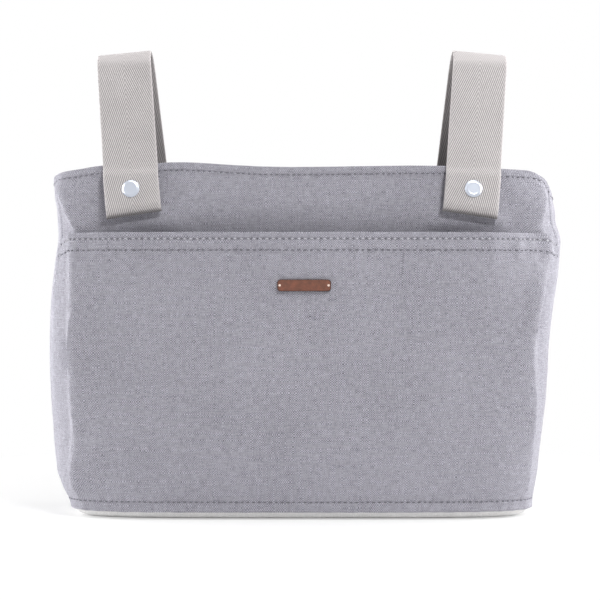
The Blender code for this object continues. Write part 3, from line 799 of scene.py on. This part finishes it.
# One thread in two painted copies: a pale one as painted highlight for the row on the hem's crest, a dark
# one as painted shade for rows sunk in the cloth
PAINTED_LIT_THREAD = thread("painted_lit_thread", rgba(0.62, 0.61, 0.66), rgba(0.14, 0.14, 0.16))
PAINTED_SHADED_THREAD = thread("painted_shaded_thread", rgba(0.19, 0.185, 0.215), rgba(0.06, 0.06, 0.07))
WEB_THREAD = thread("strap_thread", rgba(0.50, 0.46, 0.45), rgba(0.13, 0.115, 0.11))
SNAP = bright_metal("snap_metal", rgba(0.585, 0.62, 0.70), 0.31)
PIN = bright_metal("pin_metal", rgba(0.86, 0.70, 0.62), 0.30)
LEATHER = grained_leather("label_leather")
BOARD = pressed_board("base_sheet")


def side_seam_roll(reach, half):
    """A seam allowance inside lifts the cloth beside a side seam, and the seam itself draws in."""
    distance = (half - reach) * QUARTER_LENGTH
    return 0.0003 * bell(distance - SEAM_ROLL_PLACE, 0.003) - 0.0006 * bell(distance, 0.0012)


def wall_panel(name, node, middle, half):
    """One sewn wall panel, from the base seam to the rolled rim."""
    u = middle + (half - SEAM_MARGIN) * seamed_shares(half)
    rim_drops = (RIM_STITCH_DROP, RIM_STITCH_DROP + HEM_STEP, 0)
    lines = [BASE_SEAM_HEIGHT, BASE_STITCH_HEIGHT] + [RIM_HEIGHT - drop for drop in rim_drops]
    u, share = np.meshgrid(u, levels(BASE_SEAM_HEIGHT, RIM_HEIGHT, lines))
    z = BASE_SEAM_HEIGHT + (rim_height(u) - BASE_SEAM_HEIGHT) * share
    outer = body(u, z, -wall_bulge(u, z) - side_seam_roll(np.abs(u - middle), half))
    inner = body(u, z, PANEL_THICKNESS)
    piece = slab(name, outer, inner, np.stack([u * QUARTER_LENGTH, z], -1))
    mount(piece, "panel_cloth", PANEL, node)


def seamed_shares(half):
    """Positions across a panel from -1 to 1, close together beside its side seams."""
    wide = 2 * half * QUARTER_LENGTH
    lines = (0, SEAM_ROLL_PLACE, wide - SEAM_ROLL_PLACE, wide)
    return 2 * levels(0, wide, lines, step=CLOTH_STEP, fine=0.0006) - 1


def pocket():
    edge = SIDE_SEAM_SHARE - SEAM_MARGIN
    u = edge * seamed_shares(edge)
    lines = [POCKET_HEIGHT - drop for drop in POCKET_STITCH_DROPS]
    lines += [POCKET_HEIGHT, lines[1] - HEM_STEP, BASE_STITCH_HEIGHT, BASE_SEAM_HEIGHT]
    u, share = np.meshgrid(u, levels(BASE_SEAM_HEIGHT, POCKET_HEIGHT, lines))
    z = BASE_SEAM_HEIGHT + (pocket_top(u) - BASE_SEAM_HEIGHT) * share
    outside = pocket_bulge(u, z)
    outer = body(u, z, -outside - side_seam_roll(np.abs(u), edge))
    inside = np.minimum(pocket_gap(u, z) - behind_pocket(u, z), outside - POCKET_THICKNESS * 0.8)
    inner = body(u, z, -inside)
    # Painted shade along the pocket hem's upper stitch row
    painted_shade = stitch_row_painted_shade(pocket_top(u) - POCKET_STITCH_DROPS[0] - z)
    piece = slab("pocket_cloth", outer, inner, np.stack([u * QUARTER_LENGTH + POCKET_CUT, z], -1), painted_shade)
    mount(piece, "panel_cloth", PANEL, "pocket_panel")


def base():
    """The underside, which turns up all round to the base seam."""
    end = math.acos(1 - BASE_SEAM_HEIGHT / FOOT_RADIUS) - CLOTH_GAP / FOOT_RADIUS
    u, angle = np.meshgrid(np.linspace(-2, 2, 360, endpoint=False), np.linspace(0, end, 9))
    cover = CLOTH_GAP + POCKET_THICKNESS
    front = 1 - ease(np.abs(wrapped(u)), SIDE_SEAM_SHARE * 0.9, SIDE_SEAM_SHARE)
    z = FOOT_RADIUS * (1 - np.cos(angle))
    outer = body(u, z, -cover * np.sin(angle) / math.sin(end) * front)
    inner = body(u, z, PANEL_THICKNESS)
    piece = cup("base_cloth", outer, inner, outer[..., :2])
    mount(piece, "panel_cloth", BASE_WITH_PAINTED_LIGHT, "base_panel")


def lining():
    """The loose inner bag, with slack folds, sewn in just under the rim."""
    u = np.linspace(-2, 2, 300, endpoint=False)
    foot_z = FOOT_RADIUS * (1 - np.cos(np.linspace(0, math.pi / 2, 8)))[:-1]
    rows = [(np.full_like(u, z), np.full_like(u, LINING_DEPTH)) for z in foot_z]
    for share in np.linspace(0, 1, 70):
        z = FOOT_RADIUS + (rim_height(u) - PANEL_THICKNESS - FOOT_RADIUS) * share
        sewn = ease(rim_height(u) - z, 0.009, 0.003)
        slack = 0.0009 * BROAD.at(u * 0.2 + 3, z) + 0.0008 * MIDDLING.at(u * 0.25, z)
        loose = LINING_DEPTH + np.clip(slack, -0.0008, None)
        rows.append((z, loose * (1 - sewn) + (PANEL_THICKNESS + CLOTH_GAP) * sewn))
    z, depth = np.array(rows).transpose(1, 0, 2)
    around = np.broadcast_to(u, z.shape)
    outer = body(around, z, depth)
    inner = body(around, z, depth + LINING_THICKNESS)
    piece = cup("lining_cloth_bag", outer, inner, np.stack([around * QUARTER_LENGTH, z], -1))
    mount(piece, "lining_cloth", LINING, "lining")


class Strap:
    """One webbing strap: folded foot on the front wall, up and over the bar, down the back wall."""

    def __init__(self, side):
        self.side = side

    def drop(self, across):
        """How much lower the leaning strap lies at this place across it."""
        return self.side * across * math.sin(STRAP_LEAN)

    def place(self, across, height):
        x = self.side * (STRAP_FOOT_X + height * math.sin(STRAP_LEAN)) + across * math.cos(STRAP_LEAN)
        return x, STRAP_FOOT_HEIGHT + height * math.cos(STRAP_LEAN) - self.drop(across)

    def rim_at(self, across):
        return (RIM_HEIGHT - STRAP_FOOT_HEIGHT + self.drop(across)) / math.cos(STRAP_LEAN)

    def puff(self, height):
        """The webbing's fold at the foot stays rounder than the two layers above it."""
        return STRAP_END_PUFF * (1 - ease(height, 0.0035, STRAP_END_BEND))

    def foot_rows(self):
        rim = self.rim_at(0)
        flush = HEM_BULK + CLOTH_GAP
        stand = SNAP_STACK + 2 * SNAP_CLEARANCE
        rows = []
        for height in STRAP_END_ROUND * np.array([0.0, 0.02, 0.06, 0.13, 0.23, 0.36, 0.53, 0.75, 1.0]):
            roundness = math.sqrt(1 - (1 - height / STRAP_END_ROUND) ** 2)
            off = stand - (stand - STRAP_END_GAP) * (1 - ease(height, 0, STRAP_END_BEND))
            rows.append((height, off, (STRAP_THICKNESS * 2 + self.puff(height)) * max(roundness, 0.12)))
        for height in np.linspace(STRAP_END_ROUND, rim, 22)[1:]:
            doubled = 1 - ease(height, STRAP_FOLD_LENGTH * 0.82, STRAP_FOLD_LENGTH)
            off = flush + STRAP_RIM_CLEARANCE * ease(height, STRAP_FOLD_LENGTH, rim)
            off += (stand - flush) * (1 - ease(height, STRAP_FOLD_LENGTH * 0.8, rim))
            off -= (stand - STRAP_END_GAP) * (1 - ease(height, 0, STRAP_END_BEND))
            rows.append((height, off, STRAP_THICKNESS * (1 + doubled) + self.puff(height)))
        return rows

    def column(self, across, lift):
        """Points of one face from the front foot to the rear end; lift is 0 inside and 1 outside."""
        points = []
        for height, off, thick in self.foot_rows():
            height = height * self.rim_at(across) / self.rim_at(0)
            x, z = self.place(across, height)
            z -= self.side * across * STRAP_END_TILT * float(1 - ease(height, 0, STRAP_FOLD_LENGTH))
            points.append((x, -wall_offset(x, z) - off - thick * lift, z))
        bar = BAR_HEIGHT - self.drop(across)
        radius = LOOP_RADIUS + STRAP_THICKNESS * lift
        leave = Vector((points[-1][1], points[-1][2]))
        away = leave - Vector((0, bar))
        first = (math.atan2(away.y, away.x) - math.acos(radius / away.length)) % math.tau
        meet = Vector((radius * math.cos(first), bar + radius * math.sin(first)))
        flat = [leave.lerp(meet, i / 18) for i in range(1, 18)]
        for angle in np.linspace(first, math.pi - first, 28):
            flat.append(Vector((radius * math.cos(angle), bar + radius * math.sin(angle))))
        for y, z in flat:
            height = (z - STRAP_FOOT_HEIGHT + self.drop(across)) / math.cos(STRAP_LEAN)
            points.append((self.place(across, height)[0], y, z))
        off = HEM_BULK + CLOTH_GAP + STRAP_THICKNESS * lift
        rim = self.rim_at(across)
        x, z = self.place(across, rim)
        top, joint = Vector(points[-1]), Vector((x, wall_offset(x, z) + off, z))
        points += [tuple(top.lerp(joint, i / 18)) for i in range(1, 19)]
        end = rim - (RIM_HEIGHT - STRAP_REAR_HEIGHT)
        for height in np.linspace(rim, end, 26)[1:]:
            x, z = self.place(across, height)
            points.append((x, wall_offset(x, z) + off, z))
        return points

    def make(self, name):
        half = STRAP_WIDTH / 2
        edge = np.array([0.0, 0.00012, 0.0004, STRAP_EDGE_ROUND])
        flat = np.linspace(-half + 0.003, half - 0.003, 13)
        spots = np.concatenate([-half + edge, flat, half - edge[::-1]])
        inward = np.clip((half - np.abs(spots)) / STRAP_EDGE_ROUND, 0, 1)
        round_off = np.sqrt(np.clip(1 - (1 - inward) ** 2, 0.02, 1))
        outer = np.array([self.column(a, 0.5 + 0.5 * r) for a, r in zip(spots, round_off)])
        inner = np.array([self.column(a, 0.5 - 0.5 * r) for a, r in zip(spots, round_off)])
        along = np.concatenate([[0], np.cumsum(np.linalg.norm(np.diff(outer[8], axis=0), axis=1))])
        uv = np.stack(np.meshgrid(along, spots)[::-1], -1)
        # Painted shade over the foot's rounded underside, fading out above it
        painted_shade = np.zeros(outer.shape[:2])
        heights = np.array([row[0] for row in self.foot_rows()])
        painted_shade[:, :len(heights)] = STRAP_FOLD_PAINTED_SHADE * (1 - ease(heights, 0.0004, 0.0034))
        # The inner face takes an even painted shade for the bar's shadow
        piece = slab(name, outer, inner, uv, painted_shade, STRAP_INNER_PAINTED_SHADE)
        mount(piece, "strap_webbing", WEB, name.replace("_webbing", ""))


def snap_place(side):
    x, z = Strap(side).place(0, SNAP_HEIGHT_ON_STRAP)
    out = wall_facing(x, z)
    right = Vector((0, 0, 1)).cross(out).normalized()
    turn = Matrix((right, out.cross(right), out)).transposed().to_4x4()
    return Matrix.Translation((x, -wall_offset(x, z), z)) @ turn


def turned(name, profile, place, steps=72):
    """Turns a (radius, height) outline about its own axis."""
    points, faces, count = [], [], len(profile)
    for i in range(steps):
        angle = math.tau * i / steps
        points += [(r * math.cos(angle), r * math.sin(angle), h) for r, h in profile]
    closed = profile[0][0] > 0
    for i in range(steps):
        a, b = i * count, (i + 1) % steps * count
        for k in range(count if closed else count - 1):
            m = (k + 1) % count
            faces.append((a + k, b + k, b + m, a + m))
    piece = object_from(name, points, faces, sharp=math.radians(42))
    cleaned(piece.data, merge=True)
    piece.data.transform(place)
    return piece


def arc(cx, cy, radius, start, end, steps):
    """Points on an arc, for a rounded corner of a profile; angles in degrees."""
    angles = np.radians(np.linspace(start, end, steps))
    return [(cx + radius * math.cos(a), cy + radius * math.sin(a)) for a in angles]


def snap_cap(name, place):
    """A domed cap with a rolled rim and a shallow flat middle."""
    seat = SNAP_STACK + 3 * SNAP_CLEARANCE + 2 * STRAP_THICKNESS
    wide, roll, high = 0.0067, 0.0005, 0.0019
    profile = [(0, 0.0025), (0.0016, 0.0025), (0.0016, seat), (wide - roll, seat)]
    profile += arc(wide - roll, seat + roll, roll, -75, 60, 8)
    shoulder = 0.0046
    for share in np.linspace(0.08, 1, 12):
        r = wide - roll * 0.5 - (wide - roll * 0.5 - shoulder) * share
        profile.append((r, seat + roll * 1.7 + (high - roll * 1.7) * math.sin(share * math.pi / 2)))
    flat = seat + high - 0.00014
    profile += [(shoulder - 0.0003, seat + high - 0.00006), (shoulder - 0.0006, flat)]
    profile += [(r, flat) for r in (0.0037, 0.0034, 0.0028, 0.0020, 0.0010, 0)]
    mount(turned(name, profile, place), "snap_metal", SNAP, name.replace("_shell", ""))


# Radius and height above the wall, in millimetres
SNAP_PROFILES = {
    "stud": ((1.6, 0.3), (5.5, 0.3), (5.7, 0.5), (5.6, 0.8), (2.4, 0.8), (2.6, 1.35), (2.4, 1.8),
             (2.1, 1.9), (1.6, 1.9)),
    "socket": ((2.9, 1.1), (4.2, 1.1), (5.8, 2.1), (5.9, 2.5), (5.7, 2.9), (1.9, 2.9), (1.9, 2.2),
               (2.9, 2.2)),
    "plate": ((0, -3), (5.5, -3), (5.7, -2.8), (5.7, -2.3), (1.3, -2.3), (1.3, 1.57), (0, 1.57)),
}


def finer_snaps(word, place):
    """The hidden snap halves keep their solids' outlines, turned more finely."""
    for part, profile in SNAP_PROFILES.items():
        node = word + "_snap_" + part
        mount(turned(node + "_ring", scaled(profile, MM, MM), place), "snap_metal", SNAP, node)


def surface_frame(surface, u, z, step=0.0001):
    """Points on a surface with their outward directions."""
    here = surface(u, z)
    along = surface(u + step / QUARTER_LENGTH, z) - here
    up = surface(u, z + step) - here
    out = np.cross(along, up)
    return here, out / np.linalg.norm(out, axis=-1, keepdims=True)


def stitches(name, spans, surface_of, finish=PAINTED_SHADED_THREAD, slot="panel_cloth"):
    """Raised stitches: each span gives the surface coordinates of a stitch's two ends."""
    points, faces, uvs = [], [], []
    rings, sides = 7, 6
    for a0, b0, a1, b1 in spans:
        t = np.linspace(0, 1, rings)
        here, out = surface_frame(surface_of, a0 + (a1 - a0) * t, b0 + (b1 - b0) * t)
        arch = np.sin(t * math.pi)
        here = here + out * (THREAD_RADIUS * (1.5 * arch - 0.75))[:, None]
        tangent = np.gradient(here, axis=0)
        tangent /= np.linalg.norm(tangent, axis=1, keepdims=True)
        across = np.cross(out, tangent)
        radius = THREAD_RADIUS * (0.55 + 0.45 * arch**0.5)
        start = len(points)
        for i in range(rings):
            for k in range(sides):
                angle = math.tau * k / sides
                side = across[i] * math.cos(angle) + out[i] * math.sin(angle)
                points.append(here[i] + side * radius[i])
                uvs.append((k / sides, t[i]))
        faces += as_faces(ring_quads(rings, sides, start))
        faces.append(tuple(start + k for k in reversed(range(sides))))
        faces.append(tuple(start + (rings - 1) * sides + k for k in range(sides)))
    mount(object_from(name, points, faces, uvs, sharp=math.radians(80)), slot, finish)


def row_round(start, end, height):
    """Stitch spans along u at a height that may follow u."""
    length = STITCH_LENGTH / QUARTER_LENGTH
    spans = []
    first, last = (edge * QUARTER_LENGTH / STITCH_PITCH for edge in (start, end))
    for count in range(math.ceil(first), int(last)):
        u = (count + 0.5) * STITCH_PITCH / QUARTER_LENGTH - length / 2
        slant = rng.uniform(-0.00008, 0.00008)
        spans.append((u, height(u) + slant, u + length, height(u + length) - slant))
    return spans


def wall_surface(u, z):
    return body(u, z, -wall_bulge(u, z))


def pocket_surface(u, z):
    return body(u, z, -pocket_bulge(u, z))


def all_stitches():
    seam = SIDE_SEAM_SHARE
    row = row_round(-2, 2, lambda u: float(rim_height(u)) - RIM_STITCH_DROP)
    stitches("rim_stitches", row, wall_surface)
    # The upper row takes the painted lit copy of the thread, the lower row the painted shaded copy
    for word, drop, finish in zip(("upper", "lower"), POCKET_STITCH_DROPS, (PAINTED_LIT_THREAD, PAINTED_SHADED_THREAD)):
        row = row_round(-seam, seam, lambda u, drop=drop: float(pocket_top(u)) - drop)
        stitches("pocket_" + word + "_stitches", row, pocket_surface, finish)
    stitches("pocket_base_stitches", row_round(-seam, seam, lambda u: BASE_STITCH_HEIGHT), pocket_surface)
    stitches("back_base_stitches", row_round(seam, 4 - seam, lambda u: BASE_STITCH_HEIGHT), wall_surface)


def strap_stitches(word, side):
    """A sewn box with a cross holds the rear end of each strap on the back wall."""
    strap = Strap(side)
    off = HEM_BULK + CLOTH_GAP + STRAP_THICKNESS

    def face(u, height):
        found = []
        for a, h in zip(*np.broadcast_arrays(u, height)):
            x, z = strap.place(-a * QUARTER_LENGTH, h)
            found.append((x, wall_offset(x, z) + off, z))
        return np.array(found)

    half = STRAP_WIDTH / 2 - STRAP_BOX_INSET
    low = strap.rim_at(0) - (RIM_HEIGHT - STRAP_REAR_HEIGHT) + STRAP_BOX_LOW
    high = low + STRAP_BOX_TALL
    corners = [(-half, low), (half, low), (half, high), (-half, high)]
    lines = list(zip(corners, corners[1:] + corners[:1]))
    lines += [(corners[0], corners[2]), (corners[1], corners[3])]
    spans = []
    for (x0, y0), (x1, y1) in lines:
        count = int(math.hypot(x1 - x0, y1 - y0) / STITCH_PITCH)
        for i in range(count):
            span = []
            for share in ((i + 0.1) / count, (i + 0.9) / count):
                span += [-(x0 + (x1 - x0) * share) / QUARTER_LENGTH, y0 + (y1 - y0) * share]
            spans.append(span)
    stitches(word + "_strap_stitches", spans, face, WEB_THREAD, "strap_webbing")


# The tab from its back to the middle of its face: inset in millimetres, share of its height, darkness
LABEL_RINGS = scaled((
    (0, 0, 0), (0, 0.25, 1), (0, 0.75, 1), (0.12, 0.9, 1), (0.4, 1, 0.9), (1, 1, 0.45), (1.6, 0.97, 0.1),
    (2.2, 0.985, 0)), MM, 1, 1)


def label():
    """The leather tab: rounded ends, softened and burnished edges."""
    low, high = (np.array(c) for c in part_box("label"))
    length, width, thick = high[0] - low[0], high[2] - low[2], high[1] - low[1]
    centre = (low + high) / 2
    radius = 0.0026
    outline = []
    for cx, cz, start in ((1, 1, 0), (-1, 1, 90), (-1, -1, 180), (1, -1, 270)):
        outline += arc(cx * (length / 2 - radius), cz * (width / 2 - radius), radius, start, start + 90, 9)
    outline = np.array(outline)
    points, uvs = [], []
    for inset, lift, dark in LABEL_RINGS:
        shrink = np.array([(length / 2 - inset) / (length / 2), (width / 2 - inset) / (width / 2)])
        for x, z in outline * shrink:
            points.append((centre[0] + x, high[1] - thick * lift, centre[2] + z))
            uvs.append((dark, 0.0))
    count = len(outline)
    faces = as_faces(ring_quads(len(LABEL_RINGS), count))
    faces.append(tuple(range(count)))
    faces.append(tuple(range(len(points) - count, len(points))))
    piece = object_from("label_tab", points, faces, uvs, sharp=math.radians(60))
    mount(piece, "label_leather", LEATHER, "label")


def pins():
    for word, side in SIDES:
        node = "label_" + word + "_pin"
        low, high = (Vector(c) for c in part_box(node))
        radius, deep = (high.x - low.x) / 2, high.y - low.y
        head = 0.0006
        profile = [(0, 0), (0.0005, 0), (0.0005, deep - head), (radius * 0.95, deep - head)]
        profile += [(radius, deep - head * 0.7)]
        for angle in np.radians(np.linspace(10, 90, 8)):
            profile.append((radius * math.cos(angle), deep - head * 0.7 + head * 0.7 * math.sin(angle)))
        profile[-1] = (0, deep)
        centre = Vector(((low.x + high.x) / 2, high.y, (low.z + high.z) / 2))
        place = Matrix.Translation(centre) @ Matrix.Rotation(math.pi / 2, 4, "X")
        mount(turned(node + "_head", profile, place, 32), "pin_metal", PIN, node)


def backdrop():
    """A pale floor with the bag's soft shadow, which turns plain white away from it."""
    far, low = 6.0, FLOOR_HEIGHT
    corners = [(-far, -far, low), (far, -far, low), (far, far, low), (-far, far, low)]
    floor = object_from("floor", corners, [(0, 1, 2, 3)], smooth=False)
    n = new_material("floor")
    away = n.node("ShaderNodeVectorMath", n.place(), operation="LENGTH").outputs["Value"]
    white = n.times(n.seen(), n.between(away, 0.22, 0.50, 0.55, 1.0))
    n.shader.inputs["Base Color"].default_value = rgba(0.90, 0.90, 0.90)
    n.shader.inputs["Roughness"].default_value = 1.0
    glow = n.node("ShaderNodeEmission", rgba(1, 1, 1))
    blend = n.node("ShaderNodeMixShader", white, n.shader.outputs[0], glow.outputs[0])
    n.link(blend.outputs[0], n.tree.nodes["Material Output"].inputs[0])
    set_finish(floor, n.owner)


def surround():
    """White where the camera and reflections see it, and an even soft light elsewhere."""
    n = Nodes(bpy.data.worlds.new("surround"))
    bpy.context.scene.world = n.owner
    background = n.tree.nodes["Background"]
    background.inputs["Color"].default_value = rgba(1, 1, 1)
    n.link(n.between(n.seen(), 0.0, 1.0, SKY_LEVEL, 1.0), background.inputs["Strength"])


def lights():
    """Two side walls of light, a top light and a key light from above the front."""
    for name, place, size, power in LAMPS:
        lamp = bpy.data.lights.new(name, "AREA")
        lamp.shape = "RECTANGLE"
        lamp.size, lamp.size_y = size
        lamp.energy = power
        made = bpy.data.objects.new(name, lamp)
        made.location = place
        made.rotation_mode = "QUATERNION"
        made.rotation_quaternion = (Vector(LAMP_AIM) - Vector(place)).to_track_quat("-Z", "Y")
        bpy.context.scene.collection.objects.link(made)


def camera():
    """At the photograph's angle: level, from straight ahead, a little left of the middle."""
    data = bpy.data.cameras.new("camera")
    data.sensor_width = 36.0
    data.lens = CAMERA_LENS
    made = bpy.data.objects.new("camera", data)
    made.location = CAMERA_PLACE
    made.rotation_euler = (math.pi / 2, 0, 0)
    bpy.context.scene.collection.objects.link(made)
    bpy.context.scene.camera = made


def dress_bag():
    seam = SIDE_SEAM_SHARE
    wall_panel("front_panel_cloth", "front_panel", 0, seam)
    wall_panel("back_panel_cloth", "back_panel", 2, seam)
    for word, side in SIDES:
        wall_panel(word + "_gusset_cloth", word + "_side_gusset", side, 1 - seam)
    pocket()
    base()
    lining()
    set_finish(bpy.data.objects["base_board"], BOARD)
    for word, side in SIDES:
        Strap(side).make(word + "_strap_webbing")
        place = snap_place(side)
        snap_cap(word + "_snap_cap_shell", place)
        finer_snaps(word, place)
        strap_stitches(word, side)
    label()
    pins()
    all_stitches()


bpy.context.scene.view_settings.view_transform = "Standard"
camera()
backdrop()
surround()
lights()
dress_bag()
bpy.context.view_layer.update()
